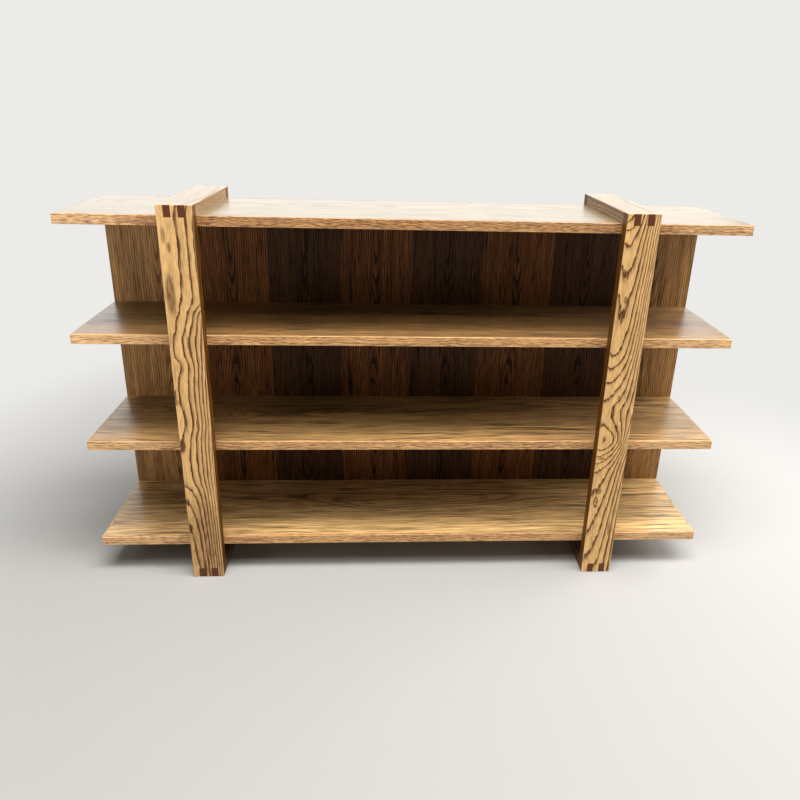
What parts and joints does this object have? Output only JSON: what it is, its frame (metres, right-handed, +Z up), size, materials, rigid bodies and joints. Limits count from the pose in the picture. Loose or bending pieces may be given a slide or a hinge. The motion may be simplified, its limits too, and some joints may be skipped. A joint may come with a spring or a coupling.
{
  "type": "bookshelf",
  "caption": "Long, low open bookshelf in stained oak: finger-jointed frames of flat boards carry deep shelves that stand out past them, with a veneered back panel.",
  "frame": {"origin": "on the floor, under the middle of the whole piece", "axes": "+X along the shelves to the viewer's right, +Y from the front posts to the back, +Z up"},
  "size_m": [2.0574, 0.4256, 1.27],
  "materials": {
    "frame_oak": "satin clear coat over brown stain",
    "shelf_veneer": "satin clear coat over brown stain",
    "lipping_oak": "satin clear coat over brown stain",
    "back_leaf": "satin clear coat over brown stain",
    "back_leaf_turned": "satin clear coat over brown stain",
    "core_plywood": "bare plywood",
    "tenon_beech": "bare wood"
  },
  "bodies": {
    "root": {"back_panel_core": "core_plywood", "back_panel_left_lipping": "lipping_oak", "back_panel_rear_veneer": "back_leaf", "back_panel_right_lipping": "lipping_oak", "back_panel_straight_leaves": "back_leaf", "back_panel_turned_leaves": "back_leaf_turned", "bottom_shelf_core": "core_plywood", "bottom_shelf_front_lipping": "lipping_oak", "bottom_shelf_front_tenons": "tenon_beech", "bottom_shelf_left_lipping": "lipping_oak", "bottom_shelf_rear_tenons": "tenon_beech", "bottom_shelf_right_lipping": "lipping_oak", "bottom_shelf_top_veneer": "shelf_veneer", "bottom_shelf_underside_veneer": "shelf_veneer", "left_bottom_rail": "frame_oak", "left_front_post": "frame_oak", "left_rear_post": "frame_oak", "left_top_rail": "frame_oak", "left_top_rail_tenons": "tenon_beech", "lower_shelf_core": "core_plywood", "lower_shelf_front_lipping": "lipping_oak", "lower_shelf_front_tenons": "tenon_beech", "lower_shelf_left_lipping": "lipping_oak", "lower_shelf_rear_tenons": "tenon_beech", "lower_shelf_right_lipping": "lipping_oak", "lower_shelf_top_veneer": "shelf_veneer", "lower_shelf_underside_veneer": "shelf_veneer", "right_bottom_rail": "frame_oak", "right_front_post": "frame_oak", "right_rear_post": "frame_oak", "right_top_rail": "frame_oak", "right_top_rail_tenons": "tenon_beech", "top_shelf_back_lipping": "lipping_oak", "top_shelf_core": "core_plywood", "top_shelf_front_lipping": "lipping_oak", "top_shelf_front_tenons": "tenon_beech", "top_shelf_left_lipping": "lipping_oak", "top_shelf_rear_tenons": "tenon_beech", "top_shelf_right_lipping": "lipping_oak", "top_shelf_top_veneer": "shelf_veneer", "top_shelf_underside_veneer": "shelf_veneer", "upper_shelf_core": "core_plywood", "upper_shelf_front_lipping": "lipping_oak", "upper_shelf_front_tenons": "tenon_beech", "upper_shelf_left_lipping": "lipping_oak", "upper_shelf_rear_tenons": "tenon_beech", "upper_shelf_right_lipping": "lipping_oak", "upper_shelf_top_veneer": "shelf_veneer", "upper_shelf_underside_veneer": "shelf_veneer"}
  },
  "joints": []
}
